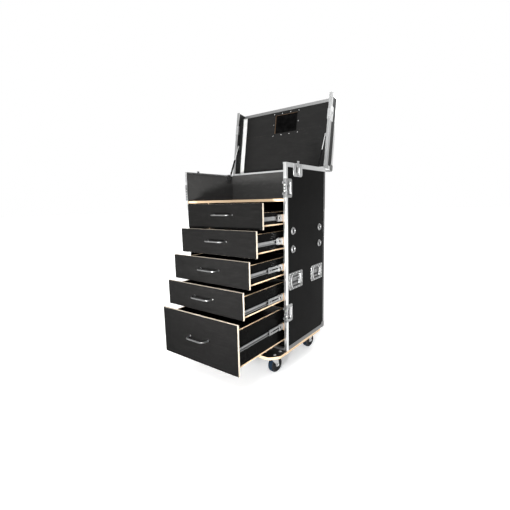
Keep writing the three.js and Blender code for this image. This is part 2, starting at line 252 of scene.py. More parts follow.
def plastic(name, color, roughness, strength=0.12, size=700, specular=0.5):
    """Moulded plastic or rubber with a fine texture and slight scuffing."""
    body = Nodes(name, color, roughness, specular=specular)
    pores = body.noise(size=size, detail=2)
    scuff = body.noise(size=30, detail=5)
    light = tuple(min(1, c * 1.25 + 0.004) for c in color)
    body.link(body.ramp(scuff, (0.35, color), (0.75, light)), "Base Color")
    body.link(body.span(scuff, roughness - 0.08, roughness + 0.1), "Roughness")
    body.bump(pores, strength, 0.0004)
    return body.material


# One black film in copies that differ in brightness: light=0.5, 0.16 and 0.22 make the drawer fronts, the
# drawer box sides and the side, back and divider panels darker, which is painted shade.
FILM_X = film_ply("black_film_grain_x", (1, 5, 5), light=0.8)
FILM_FRONT_PAINTED_SHADE = film_ply("black_film_drawer_front", (1, 5, 5), sheen=0.015, light=0.5)
FILM_Y_PAINTED_SHADE = film_ply("black_film_grain_y", (5, 1, 5), polish=0.26, sheen=0.015, light=0.16)
FILM_Z_PAINTED_SHADE = film_ply("black_film_grain_z", (5, 5, 1), sheen=0.022, light=0.22)
# light=3.9 makes the film inside the tray lighter, which is painted light.
FILM_TRAY_PAINTED_LIGHT = film_ply("black_film_tray_painted_light", (1, 1, 3.2), polish=0.36, figured=0.9, light=3.9)
BIRCH = [(0.55, 0.35, 0.19), (0.80, 0.59, 0.38), (0.88, 0.69, 0.47)]
PALE_BIRCH = [(0.46, 0.37, 0.27), (0.68, 0.59, 0.47), (0.78, 0.71, 0.60)]
# Birch darkened for shade, which is painted shade on the slide spacers and on the edges of the lid top
# board.
SHADE_PAINTED_BIRCH = [(0.12, 0.07, 0.035), (0.19, 0.12, 0.065), (0.26, 0.17, 0.10)]
EDGE = {axis: ply_edge(f"birch_edge_{axis.lower()}", axis, BIRCH) for axis in "XYZ"}
FRONT_EDGE = ply_edge("pale_birch_edge", "Y", PALE_BIRCH)
SHADED_EDGE = {axis: ply_edge(f"shaded_birch_{axis.lower()}", axis, SHADE_PAINTED_BIRCH) for axis in "XZ"}
ALU_X, ALU_Y, ALU_Z = (
    metal(f"aluminium_along_{axis}", 0.78, 0.3, [0.03 if other == axis else 1 for other in "xyz"], 900)
    for axis in "xyz")
# The rear angles, side sills, lid front cap and lid rim sides use darker copies of the same aluminium,
# which is painted shade.
ALU_PAINTED_SHADE = metal("aluminium_painted_shade", 0.13, 0.42, size=400)
ALU_CAP = metal("aluminium_cap", 0.3, 0.42, size=400)
ALU_SILL = metal("aluminium_sill", 0.2, 0.42, size=400)
ALU_RIM = metal("aluminium_lid_rim", 0.42, 0.4, (5, 0.1, 5), 300)
# The lid's inner trim is a pale non-metal grey, not aluminium, so it stays bright. This is painted light.
TRIM_PAINTED_LIGHT = plastic("aluminium_trim_painted_light", (0.6, 0.6, 0.59), 0.45, 0.03, 500)
ZINC = metal("zinc_plate", 0.5, 0.34, size=260, strength=0.08)
DISH = metal("pressed_dish_steel", 0.2, 0.34, size=120, strength=0.1)
LATCH_STEEL = metal("latch_dish_steel", 0.34, 0.36, size=120, strength=0.08)
PALE_STEEL = metal("pale_zinc_steel", 0.56, 0.4, size=120, strength=0.06)
SLIDE_PLATE = metal("slide_plate_steel", 0.4, 0.42, size=120, strength=0.06)
SLIDE = metal("slide_steel", 0.3, 0.3, (1, 0.2, 1), 300, 0.1)
DARK_STEEL = metal("dark_steel", 0.18, 0.38, size=300)
BRIGHT = metal("polished_steel", 0.74, 0.16, size=300, strength=0.02)
YELLOW_ZINC = metal("yellow_zinc_bolts", 0.6, 0.35, size=200)
BLACK_PAINT = plastic("black_paint", (0.003, 0.003, 0.003), 0.4, specular=0.06)
BOW_FINISH = metal("black_nickel_bow", 0.24, 0.36, size=300, strength=0.02)
LABEL_BACK_PAINTED_SHADE = plastic("label_dish_back_painted_shade", (0.0012, 0.0012, 0.0012), 0.9, specular=0.01)
# Flat black for holes, slots and gaps, which is painted shade.
HOLE_PAINTED_SHADE = plastic("hole_painted_shade", (0.002, 0.002, 0.002), 0.8, specular=0.02)
# Black nylon for the wheel centres, also used as painted shade in the cups' holes.
BLACK_NYLON_AND_HOLE_SHADE = plastic("black_nylon_and_painted_hole_shade", (0.008, 0.008, 0.009), 0.45, specular=0.16)
BLACK_GRIP = plastic("black_grip_rubber", (0.03, 0.03, 0.031), 0.6, 0.3)
BLUE_RUBBER = plastic("blue_elastic_tyre", (0.0022, 0.011, 0.024), 0.55, 0.2, specular=0.12)


# ---- mesh building
def arc(centre, radius, start, end, steps=5):
    """Points along an arc, in degrees."""
    angles = [math.radians(start + (end - start) * i / steps) for i in range(steps + 1)]
    return [(centre[0] + radius * math.cos(a), centre[1] + radius * math.sin(a)) for a in angles]


def rounded(u, v, radius):
    """A rounded rectangle outline over the ranges u and v."""
    points = []
    for right, top, start in ((1, 1, 0), (0, 1, 90), (0, 0, 180), (1, 0, 270)):
        centre = (u[right] - radius if right else u[right] + radius,
                  v[top] - radius if top else v[top] + radius)
        points += arc(centre, radius, start, start + 90, 4)
    return points


def mid(centre, size):
    return (centre - size / 2, centre + size / 2)


def proud(low, high):
    """An x range measured out from the face of the side edge angles."""
    return (HALF_W + low, HALF_W + high)


def shrink(ranges, margin):
    return [(low + margin, high - margin) for low, high in ranges]


def moved(outline, u, v):
    return [(u + du, v + dv) for du, dv in outline]


def steps(first, gap, count):
    return [first + gap * k for k in range(count)]


def ring_at(outline, axis, at):
    """An outline in the two other coordinates as points at one place along axis."""
    along = "xyz".index(axis)
    return [(*point[:along], at, *point[along:]) for point in map(tuple, outline)]


def join_rings(part, rings):
    """Faces between each ring and the next. A ring may be a single vertex."""
    count = max(map(len, rings))
    for low, high in zip(rings, rings[1:]):
        for k in range(count):
            n = k + 1
            face = (low[k % len(low)], low[n % len(low)], high[n % len(high)], high[k % len(high)])
            part.faces.new(list(dict.fromkeys(face)))


class Piece:
    """One visible piece, gathered in case millimetres. Side -1 mirrors what is drawn."""

    def __init__(self, side=1):
        self.mesh = bmesh.new()
        self.on(side)

    def on(self, side):
        self.place = Matrix.Diagonal((side, 1, 1, 1))
        return self

    def merge(self, part, material=0, thin=None):
        """Adds a part. Faces along the thin axis take material 0 and the rest take material 1."""
        part.transform(self.place)
        part.normal_update()
        bmesh.ops.recalc_face_normals(part, faces=part.faces)
        for face in part.faces:
            face.smooth = True
            face.material_index = material
            if thin is not None:
                face.material_index = 0 if abs(face.normal["xyz".index(thin)]) > 0.75 else 1
        scratch = bpy.data.meshes.new("scratch")
        part.to_mesh(scratch)
        part.free()
        self.mesh.from_mesh(scratch)
        bpy.data.meshes.remove(scratch)
        return self

    def block(self, x, y, z, bevel=0.6, material=0, thin=None):
        part = bmesh.new()
        bmesh.ops.create_cube(part, size=1)
        for vert in part.verts:
            vert.co = [reach[co > 0] for reach, co in zip((x, y, z), vert.co)]
        if bevel:
            bmesh.ops.bevel(part, geom=part.edges[:], offset=bevel, segments=2, affect="EDGES",
                            profile=0.5)
        return self.merge(part, material, thin)

    def loft(self, rings, bevel=0.0, material=0, thin=None):
        """Closed rings of points joined in turn and capped, with the edges of the caps bevelled."""
        part = bmesh.new()
        rings = [[part.verts.new(point) for point in ring] for ring in rings]
        join_rings(part, rings)
        caps = [part.faces.new(rings[0][::-1]), part.faces.new(rings[-1])]
        if bevel:
            edges = list({edge for cap in caps for edge in cap.edges})
            bmesh.ops.bevel(part, geom=edges, offset=bevel, segments=2, affect="EDGES",
                            profile=0.5, clamp_overlap=True)
        return self.merge(part, material, thin)

    def prism(self, outline, axis, reach, bevel=0.0, material=0, thin=None):
        """A closed outline in the two other coordinates, extruded over reach along axis."""
        return self.loft([ring_at(outline, axis, at) for at in reach], bevel, material, thin)

    def plate(self, y, z, radius, x, bevel=0.0, material=0):
        """A plate parallel to the side panels with rounded corners."""
        return self.prism(rounded(y, z, radius), "x", x, bevel, material)

    def lathe(self, profile, at, axis=UP, sides=24, material=0):
        """Turns a closed or axis-to-axis profile of (radius, height) about an axis."""
        part = bmesh.new()
        turn = Vector(UP).rotation_difference(Vector(axis)).to_matrix()
        rings = []
        for radius, height in profile:
            on_axis = radius < 1e-6
            angles = [2 * math.pi * k / sides for k in range(1 if on_axis else sides)]
            radius = 0 if on_axis else radius
            rings.append([part.verts.new(turn @ Vector((radius * math.cos(a), radius * math.sin(a), height))
                                         + Vector(at)) for a in angles])
        join_rings(part, rings)
        if profile[0] == profile[-1]:
            bmesh.ops.remove_doubles(part, verts=part.verts, dist=1e-5)
        return self.merge(part, material)

    def tube(self, points, radius, sides=12):
        """A round bar through the points, with flat ends."""
        points = [Vector(p) for p in points]
        rings = []
        normal = (points[1] - points[0]).normalized().orthogonal().normalized()
        for i, point in enumerate(points):
            ahead = (points[min(i + 1, len(points) - 1)] - points[max(i - 1, 0)]).normalized()
            normal = (normal - ahead * normal.dot(ahead)).normalized()
            side = ahead.cross(normal)
            rings.append([point + radius * (normal * math.cos(a) + side * math.sin(a))
                          for a in (2 * math.pi * k / sides for k in range(sides))])
        return self.loft(rings)

    def rivets(self, x, y, z, axis, radius=3, material=0):
        """Domed rivet heads whose flat sides lie at every combination of x, y and z."""
        dome = [(0, radius * 0.5), (radius * 0.45, radius * 0.45), (radius * 0.8, radius * 0.28),
                (radius, 0.05), (radius, -0.4), (0, -0.4)]
        for at in product(*(v if isinstance(v, (list, tuple)) else (v,) for v in (x, y, z))):
            self.lathe(dome, at, axis, 10, material)
        return self

    def done(self, name, body, slot, *materials, replaces=()):
        """Makes the object, puts it in the row frame and has it ride on its body."""
        mesh = bpy.data.meshes.new(name)
        self.mesh.to_mesh(mesh)
        self.mesh.free()
        for material in materials:
            mesh.materials.append(material)
        for vert in mesh.vertices:
            vert.co = row(*vert.co)
            if body == "lid":
                vert.co = LID_SWING @ vert.co
        mesh.shade_smooth()
        mesh.set_sharp_from_angle(angle=math.radians(38))
        piece = bpy.data.objects.new(name, mesh)
        bpy.context.collection.objects.link(piece)
        evened = piece.modifiers.new("even_normals", "WEIGHTED_NORMAL")
        evened.keep_sharp = True
        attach(piece, body)
        if replaces:
            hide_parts(*replaces)


def paint(node, material):
    """Gives a CAD node that stays visible its finish."""
    slots = frame["nodes"][node].data.materials
    slots.clear()
    slots.append(material)


# ---- carcass
SIDE_ROW = steps(30, 98, 6)
BACK_ROW = steps(-400, 100, 9)


def castor_board():
    """The deck under the carcass, film on both faces and bare birch all round its edge."""
    x, y, z = span("castor_board")
    cut_x, cut_y, round_off = 50, 60, 9
    corners = [(x[0], y[0] + cut_y), (x[0] + cut_x, y[0]), (x[1] - cut_x, y[0]), (x[1], y[0] + cut_y),
               (x[1], y[1] - cut_y), (x[1] - cut_x, y[1]), (x[0] + cut_x, y[1]), (x[0], y[1] - cut_y)]
    outline = []
    for i, corner in enumerate(corners):
        for other in (corners[i - 1], corners[(i + 1) % len(corners)]):
            toward = (Vector(other) - Vector(corner)).normalized()
            outline.append(Vector(corner) + toward * round_off)
    deck = Piece().prism(outline, "z", z, bevel=0.8, thin="z")
    deck.done("castor_board_deck", "case", "raw_plywood", FILM_X, EDGE["Z"], replaces=["castor_board"])


def angle_section(leg, inner_corner=None):
    """An aluminium angle from its rounded outer corner. With an inner corner it has a second leg."""
    turn = 4.0
    outline = [(leg, 0)] + [(turn - du, turn - dv) for du, dv in arc((0, 0), turn, 90, 0)]
    if inner_corner:
        outline += [(0, leg), (ALU, leg), (inner_corner, inner_corner)]
    return outline + [(leg, ALU)]


def gaps_between(low, high, gaps):
    """The stretches of low..high that the gaps leave."""
    stretches, start = [], low
    for gap_low, gap_high in sorted(gaps):
        stretches.append((start, gap_low))
        start = gap_high
    return stretches + [(start, high)]


def edge_angle(name, side, end):
    front = end == "front"
    leg = FRONT_LEG if front else REAR_LEG
    back = (lambda v: v) if front else (lambda v: DEPTH - v)
    full, flat = ([(HALF_W - u, back(v)) for u, v in angle_section(leg, inner)]
                  for inner in (ALU + 0.8, None))
    rim_z = HEIGHT - RIM_LEG - 0.3
    cuts = [mid(z, COVER_LATCH_POCKET + 2) for z in COVER_LATCHES.values()] if front else []
    angle = Piece(side)
    for stretch in gaps_between(0.3, rim_z, cuts):
        angle.prism(full, "z", stretch)
    for stretch in cuts + ([(rim_z, HEIGHT)] if front else []):
        angle.prism(flat, "z", stretch)
    inset = leg * 0.58
    heights = steps(60, 108, 11)
    angle.rivets(HALF_W - inset, back(0), heights, (0, -1 if front else 1, 0))
    clear = [z for z in heights if not any(low - 12 < z < high + 12 for low, high in cuts)]
    angle.rivets(HALF_W, back(inset), clear, OUT)
    node = f"{name}_{end}_edge_angle"
    angle.done(f"{node}_profile", "case", "aluminium", ALU_Z if front else ALU_PAINTED_SHADE, replaces=[node])


def top_rim():
    """The closing profile round the tray: a capped outer leg with a tongue ridge."""
    latch = mid(LID_LATCH[0], LID_LATCH_POCKET + 2)
    section = [(0, -RIM_LEG), (0, -1), (-1, 0), (-8, 0), (-8.5, -1.5), (-13, -1.5), (-13.5, 0), (-23, 0),
               (-24, -1), (-24, -9), (-22.6, -9), (-22.6, -2.2), (-ALU, -2.2), (-ALU, -RIM_LEG)]
    whole = moved(section, HALF_W, HEIGHT)
    notched = [(u, max(v, HEIGHT - 9)) for u, v in whole]
    row_y = [y for y in steps(40, 98, 6) if not latch[0] - 10 < y < latch[1] + 10]
    rim = Piece()
    for side in SIDES.values():
        rim.on(side).prism(whole, "y", (ALU + 0.3, latch[0])).prism(whole, "y", (latch[1], DEPTH))
        rim.prism(notched, "y", latch).rivets(HALF_W, row_y, HEIGHT - 15, OUT)
    back = [(0, -RIM_LEG), (0, -1), (-1, 0), (BACK_IN - DEPTH, 0), (BACK_IN - DEPTH, -1.8),
            (-ALU, -1.8), (-ALU, -RIM_LEG)]
    rim.prism(moved(back, DEPTH, HEIGHT), "x", (-HALF_W + 0.2, HALF_W - 0.2), material=1)
    rim.rivets(BACK_ROW, DEPTH, HEIGHT - 15, BACK)
    rim.done("top_rim_profile", "case", "aluminium", ALU_Y, ALU_X, replaces=["top_rim"])


def sills():
    """Aluminium angle along the bottom edges of the carcass, and the low sill under the drawers."""
    low_edge = (0.3, RIM_LEG)
    for name, side in SIDES.items():
        sill = Piece(side).block(proud(-ALU, 0), (FRONT_LEG + 0.4, DEPTH - REAR_LEG - 0.4),
                                 low_edge, 0.5)
        sill.rivets(HALF_W, steps(60, 110, 5), 15, OUT)
        sill.done(f"{name}_sill_angle", "case", "aluminium", ALU_SILL)
    back_reach, front_reach = (mid(0, 2 * (HALF_W - leg - 0.4)) for leg in (REAR_LEG, FRONT_LEG))
    back = Piece().block(back_reach, (DEPTH - ALU, DEPTH), low_edge, 0.5)
    back.rivets(BACK_ROW, DEPTH, 15, BACK)
    back.done("back_sill_angle", "case", "aluminium", ALU_X)
    front = Piece().prism([(0, 0.3), (0, 12.6), (0.8, 13.6), (RIM_LEG, 13.6), (RIM_LEG, 12.6),
                           (ALU, 12.6), (ALU, 0.3)], "x", front_reach)
    front.done("front_sill_angle", "case", "aluminium", ALU_X)


def ball_corner(name, body, side, corner_z, up):
    """A pressed corner: a ball over the corner point with two or three riveted feet."""
    ball, sunk, foot, sheet = 19.0, 15, 46.0, 1.6
    at, signs = (HALF_W, DEPTH, corner_z), (1, 1, up)
    corner = Piece(side)
    half_turn = [(ball * math.sin(a), ball * math.cos(a)) for a in map(math.radians, steps(0, 15, 13))]
    corner.lathe(half_turn, [c - s * sunk for c, s in zip(at, signs)])
    reach = [sorted((c + s, c - s * foot)) for c, s in zip(at, signs)]
    skin = [sorted((c - s * 0.4, c + s * sheet)) for c, s in zip(at, signs)]
    for i, axis in enumerate("xyz" if up > 0 else "xy"):
        u, v = reach[:i] + reach[i + 1:]
        corner.prism(rounded(u, v, 12), axis, skin[i], 0.5)
        spot = [c - s * 36 for c, s in zip(at, signs)]
        spot[i] = at[i] + signs[i] * sheet
        corner.rivets(*spot, (OUT, BACK, UP)[i])
    corner.done(name, body, "zinc_steel", DISH)


def board(node, body, thin, film, edge, bevel=0.5):
    """A plywood board in the place of a CAD board."""
    piece = Piece().block(*span(node), bevel, thin=thin)
    piece.done(f"{node}_board", body, "black_plywood", film, edge, replaces=[node])


def panels():
    for node in ("left_side_panel", "right_side_panel", "back_panel"):
        paint(node, FILM_Z_PAINTED_SHADE)
    paint("base_panel", FILM_X)
    board("tray_floor", "case", "z", FILM_X, EDGE["Z"])
    # Thin sheets over the tray's inner walls carry the lighter film copy. This is painted light inside the
    # tray.
    lining_z = (TRAY_Z[1] + 0.1, HEIGHT - 2)
    for name, side in SIDES.items():
        painted_light_lining = Piece(side).block((INNER - 0.6, INNER - 0.05), (3, BACK_IN - 0.7), lining_z, 0)
        painted_light_lining.done(f"tray_{name}_lining", "case", "black_plywood", FILM_TRAY_PAINTED_LIGHT)
    back = Piece().block((-INNER + 0.7, INNER - 0.7), (BACK_IN - 0.6, BACK_IN - 0.05), lining_z, 0)
    back.done("tray_back_painted_light_lining", "case", "black_plywood", FILM_TRAY_PAINTED_LIGHT)
    board("bay_divider", "case", "x", FILM_Z_PAINTED_SHADE, EDGE["X"])


castor_board()
for side_name, sign in SIDES.items():
    edge_angle(side_name, sign, "front")
    edge_angle(side_name, sign, "rear")
top_rim()
sills()
for side_name, sign in SIDES.items():
    ball_corner(f"{side_name}_rear_foot_corner", "case", sign, 1, -1)
    ball_corner(f"{side_name}_lid_corner", "lid", sign, LID_TOP, 1)
panels()


# ---- drawers
def drawer_box(i):
    """The front, and behind it sides and ends of film ply with bare top edges on a ply bottom."""
    body = f"drawer_{i}"
    board(f"{body}_front", body, "y", FILM_FRONT_PAINTED_SHADE, FRONT_EDGE, 0.7)
    node = f"{body}_box"
    x, y, z = span(node)
    wall, bottom = 12, 9
    sides, ends = Piece(), Piece()
    above = (z[0] + bottom, z[1])
    inside = (x[0] + wall + 0.05, x[1] - wall - 0.05)
    for side_x in ((x[0], x[0] + wall), (x[1] - wall, x[1])):
        sides.block(side_x, y, above, 0.5, thin="x")
    for end_y in ((y[0], y[0] + wall), (y[1] - wall, y[1])):
        ends.block(inside, end_y, above, 0.5, thin="y")
    sides.done(f"{node}_sides", body, "black_plywood", FILM_Y_PAINTED_SHADE, EDGE["X"], replaces=[node])
    ends.done(f"{node}_ends", body, "black_plywood", FILM_X, EDGE["Y"])
    base = Piece().block(x, y, (z[0], z[0] + bottom - 0.1), 0.5, thin="z")
    base.done(f"{node}_bottom", body, "raw_plywood", FILM_X, EDGE["Z"])


def drawer_handle(i):
    """A bow handle of dark round bar with small collars where it meets the front."""
    node = f"drawer_{i}_handle"
    x, y, z = span(node)
    middle, height = sum(x) / 2, sum(z) / 2
    radius = (z[1] - z[0]) / 2
    foot_y, grip_y = y[1] + 0.2, y[0] + radius
    foot = (x[1] - x[0]) / 2 - radius
    grip, bend, bend_steps = foot - 8, 26, 8
    half = [Vector((foot, foot_y)), Vector((grip + 4, grip_y + bend * 0.8))]
    start, control, end = half[1], Vector((grip, grip_y)), Vector((grip - bend, grip_y))
    for k in range(1, bend_steps + 1):
        t = k / bend_steps
        half.append(start * (1 - t) ** 2 + control * 2 * t * (1 - t) + end * t * t)
    path = [(middle - u, v, height) for u, v in half] + [(middle + u, v, height) for u, v in half[::-1]]
    handle = Piece().tube(path, radius, 16)
    collar = [(0, -0.2), (6, -0.2), (6, 1.2), (radius + 0.4, 2.2), (0, 2.2)]
    for collar_x in (middle - foot, middle + foot):
        handle.lathe(collar, (collar_x, foot_y, height), (0, -1, 0), 20)
    handle.done(f"{node}_bar", f"drawer_{i}", "zinc_steel", BOW_FINISH, replaces=[node])


def channel(outer_x, inner_x, z, half, wall, lip):
    """A slide member's section: a web at outer_x with rolled lips reaching towards inner_x."""
    s = 1 if inner_x > outer_x else -1
    w = s * wall
    lower = [(outer_x, 1 - half), (outer_x + s, -half), (inner_x, -half), (inner_x, lip - half),
             (inner_x - w, lip - half), (inner_x - w, wall - half), (outer_x + w, wall - half)]
    return [(u, z + v) for u, v in lower] + [(u, z - v) for u, v in lower[::-1]]


SLIDE_FRONT = -37
DISC = [(0, 0.3), (5.4, 0.3), (5.4, -0.6), (0, -0.6)]
BALL = [(0, 2), (1.4, 1.4), (2, 0), (1.4, -1.4), (0, -2)]


def screw_ring(piece, at, radius, hole):
    """A countersunk hole seen from outside: a bright pressed ring round a flat black centre disc, which is
    painted shade for the hole.
    """
    ring = [(hole, 0.2), (hole + 0.6, 0.9), (radius - 1, 1.1), (radius, 0.5), (radius, -0.3),
            (hole, -0.3), (hole, 0.2)]
    piece.lathe(ring, at, OUT, 18, material=2)
    piece.lathe([(0, 0.25), (hole, 0.25), (hole, -0.2), (0, -0.2)], at, OUT, 14, material=1)


def slides(i, name, side):
    """Ball-bearing slides: fixed member on the case, travelling runner, inner member on the box."""
    node = f"drawer_{i}_runner_{name}"
    _, (near, far), run_z = span(node)
    z = sum(run_z) / 2
    box_x, box_y, _ = span(f"drawer_{i}_box")
    drawer_x = max(side * edge for edge in box_x)
    web = drawer_x + 12.6
    face = web + 1.2
    fixed = Piece(side).prism(channel(web, drawer_x + 3.2, z, 22.5, 1.3, 5), "y", (SLIDE_FRONT, 500))
    fixed.plate((SLIDE_FRONT + 1, -3), mid(z, 38), 3, (web - 0.2, face), 0.4, material=3)
    screw_ring(fixed, (face, -20, z), 10.5, 8)
    for hole in (62, 210, 380):
        screw_ring(fixed, (web, hole, z), 7.5, 3.2)
    if side > 0:
        fixed.block((web, web + 9), (-1.2, 0.2), mid(z, 38), 0.4, material=3)
        spacer = Piece().block((web + 1.4, INNER - 0.1), (0.4, 505), mid(z, 46), 0.5)
        spacer.done(f"drawer_{i}_slide_spacer", "case", "raw_plywood", SHADED_EDGE["X"])
    fixed.done(f"drawer_{i}_slide_fixed_{name}", "case", "zinc_steel", SLIDE, HOLE_PAINTED_SHADE, BRIGHT,
               SLIDE_PLATE)
    outer = web - 2.4
    middle = Piece(side).prism(channel(outer, drawer_x + 2.6, z, 18, 1.2, 4), "y", (near, far))
    # The slot, the disc and the block at the runner's front are painted black. They are painted shade for a
    # slot, a hole and the gap at the front.
    slot = rounded((near + 34, near + 116), mid(z, 9), 4.4)
    middle.prism(slot, "x", (outer - 0.6, outer + 0.15), material=1)
    middle.lathe(DISC, (outer, near + 20, z), OUT, 16, material=1)
    middle.block(mid(drawer_x + 5.6, 6), (near - 3.5, near + 6), mid(z, 33), 1, material=1)
    for edge in (-1, 1):
        middle.block(mid(drawer_x + 5.5, 3.4), (near + 6, near + 70), mid(z + edge * 14, 3), 0.8,
                     material=1)
        for ball_y in steps(near + 11, 9, 7):
            middle.lathe(BALL, (drawer_x + 5, ball_y, z + edge * 13), UP, 10, material=2)
    middle.done(f"{node}_member", f"drawer_{i}_runners", "zinc_steel", SLIDE, HOLE_PAINTED_SHADE, BRIGHT,
                replaces=[node])
    inner = Piece(side).prism(channel(drawer_x + 0.2, drawer_x + 8.6, z, 12, 1.3, 3), "y",
                              (box_y[0] + 4, box_y[1] - 10))
    for hole in (36, 150, 290, 430):
        inner.lathe([(0, 0), (4, 0), (4, 0.5), (2.6, 1.6), (0, 1.8)],
                    (drawer_x + 1.6, box_y[0] + hole, z), OUT, 14)
    inner.done(f"drawer_{i}_slide_inner_{name}", f"drawer_{i}", "zinc_steel", SLIDE)


for number in DRAWERS:
    drawer_box(number)
    drawer_handle(number)
    for side_name, sign in SIDES.items():
        slides(number, side_name, sign)


# ---- side fittings
DISH_FACE = HALF_W + 1.3


def dish(piece, outer, inner, radius, depth, floor_margin=6):
    """A pressed dish: a flange over the panel and a sloping wall down to a flat floor.

    outer and inner are (y range, z range) of the flange and of the recess mouth.
    """
    floor = (*shrink(inner, floor_margin), radius * 0.5, SKIN - depth + 0.6)
    rim = (*outer, radius, HALF_W + 0.05)
    loops = [floor, (*shrink(inner, 1.5), radius * 0.6, DISH_FACE - 1.5), (*inner, radius * 0.7, DISH_FACE),
             (*shrink(outer, 0.7), radius - 0.7, DISH_FACE), rim]
    loops += [(*loop[:3], loop[3] - 0.9) for loop in (rim, floor)]
    piece.loft([ring_at(rounded(y, z, turn), "x", x) for y, z, turn, x in loops])


def bail_handle(name, side, spot, y):
    """A recessed handle: dish, sprung bail with a rubber grip, hinge lugs and rivets."""
    panel = Piece(side)
    dish(panel, (mid(y - 3, 180), mid(HANDLE_Z, 116)), ((y - 66, y + 58), mid(HANDLE_Z, 88)), 14, 9)
    panel.rivets(DISH_FACE, [y + dy for dy in (-80, -40, 0, 40, 76)],
                 [HANDLE_Z - 50.5, HANDLE_Z + 50.5], OUT, 4, 1)
    panel.rivets(DISH_FACE, [y - 84, y + 78], steps(HANDLE_Z - 25, 25, 3), OUT, 4, 1)
    bulge = arc((y - 12, HANDLE_Z), 62, 136, 224, 10) + arc((y - 4, HANDLE_Z), 62, 224, 136, 10)
    panel.prism(bulge, "x", proud(-2, 3.6), 1.2, material=1)
    bar = rounded((y + 58, y + 63), (HANDLE_Z - 24, HANDLE_Z + 38), 2)
    panel.prism(bar, "x", proud(1, 4.2), 1.2, material=1)
    wing = moved([(28, -28), (54, -30), (54, 28)], y, HANDLE_Z)
    panel.prism(wing, "x", (SKIN - 7, SKIN - 1), 1.2, material=1)
    for dy in (-57, 57):
        panel.block((SKIN - 8, SKIN), mid(y + dy, 5), mid(HANDLE_Z + 22, 18), 1.5)
    panel.done(f"{name}_{spot}_handle_dish", "case", "zinc_steel", DISH, BRIGHT)
    node = f"{name}_{spot}_bail_handle"
    x, _, z = span(node)
    x = sum(x) / 2
    low, top = z[0] + 5.5, HANDLE_Z + 22
    half = [(49, top), (49, low + 10), (46, low + 3), (39, low)]
    path = [(x, y - u, v) for u, v in half] + [(x, y + u, v) for u, v in half[::-1]]
    bar = Piece().tube(path, 3.3)
    bar.lathe([(0, -57), (3, -57), (3, 57), (0, 57)], (x, y, top), BACK, 12)
    grip = [(0, -37), (4.6, -37), (5.4, -35.5), (5.4, 35.5), (4.6, 37), (0, 37)]
    bar.lathe(grip, (x, y, low), BACK, 16, material=1)
    bar.done(f"{node}_bar", node, "zinc_steel", DARK_STEEL, BLACK_GRIP, replaces=[node])


def twist_plate(node, side, y, z):
    """The turning part of a latch: a round plate with two raised butterfly wings."""
    inner = min(side * edge for edge in span(node)[0])
    twist = Piece(side)
    twist.lathe([(0, 0), (21, 0), (21, 1.6), (19.5, 2.5), (0, 2.5)], (inner, y, z), OUT, 28)
    twist.plate(mid(y, 9), mid(z, 38), 4, (inner + 2.2, inner + 6.8), 0.9, material=1)
    twist.rivets(inner + 6.8, y, z, OUT)
    twist.done(f"{node}_twist", node, "zinc_steel", PALE_STEEL, DARK_STEEL, replaces=[node])


def cover_latch(name, side, latch, z):
    """The case half of a front-cover latch: dish, hook ears over the front edge, twist plate."""
    plate = Piece(side)
    dish(plate, ((0.5, 71), mid(z, 118)), ((7, 58.5), mid(z, 84)), 13, 9, 4)
    plate.rivets(DISH_FACE, (14, 40, 60), (z - 50, z + 50), OUT)
    for y in (5, 60.5):
        plate.plate(mid(y, 3), mid(z, 80), 1.4, proud(1, 3.4), 0.9, material=1)
    plate.block((HALF_W - FRONT_LEG, DISH_FACE), (-1.8, -0.05), mid(z, 118), 0.7)
    plate.block(proud(-16, -5), (-2.2, -1.7), mid(z, 74), 0.2, material=2)
    plate.block(proud(-4.5, -1), (-3.4, -1.6), mid(z, 84), 0.8, material=1)
    boss = [(0, 1.8), (3, 1.8), (4.6, 1), (5, 0), (5, -0.4), (0, -0.4)]
    for boss_z in (z - 19, z, z + 19):
        plate.lathe(boss, (HALF_W - 10.5, -2.1, boss_z), (0, -1, 0), 14, material=1)
    ear = moved([(-2, 0), (-2, -5.5), (-3.5, -7), (-8.5, -7), (-10, -5.5), (-10, 0)],
                HALF_W - FRONT_LEG + 4, 0)
    for ear_z in (z - 34, z + 34):
        plate.prism(ear, "z", mid(ear_z, 13), 0.5)
    plate.done(f"{name}_{latch}_dish", "case", "zinc_steel", LATCH_STEEL, BRIGHT, DARK_STEEL)
    twist_plate(f"{name}_{latch}", side, COVER_LATCH_Y, z)


def lid_latch(name, side):
    """The lower half of a lid latch, with its hook standing above the rim."""
    y, z = LID_LATCH
    plate = Piece(side)
    dish(plate, (mid(y, 118), (z - 43, HEIGHT - 0.6)), (mid(y, 52), (z - 36, HEIGHT - 6)), 18, 7, 4)
    plate.rivets(DISH_FACE, (y - 50, y + 50), (z - 24, z + 4, z + 30), OUT)
    for rib_y in (y - 36, y + 36):
        rib = rounded(mid(rib_y, 5), (z - 20, HEIGHT - 1), 2.2)
        plate.prism(rib, "x", proud(1, 4.2), 1.4, material=1)
    plate.done(f"{name}_lid_latch_dish", "case", "zinc_steel", PALE_STEEL, BRIGHT)
    hook = Piece(side)
    hook.plate(mid(y, 24), (HEIGHT - 30, HEIGHT + 15), 4, proud(2, 4.2), 0.7)
    hook.plate(mid(y, 40), (HEIGHT - 24, HEIGHT - 5), 4, (DISH_FACE, HALF_W + 3), 0.6,
               material=1)
    hook.block(proud(2, 6), mid(y, 24), (HEIGHT + 11, HEIGHT + 15), 0.8)
    hook.done(f"{name}_lid_latch_hook", "case", "zinc_steel", ZINC, BRIGHT)
    twist_plate(f"{name}_lid_latch", side, y, z)


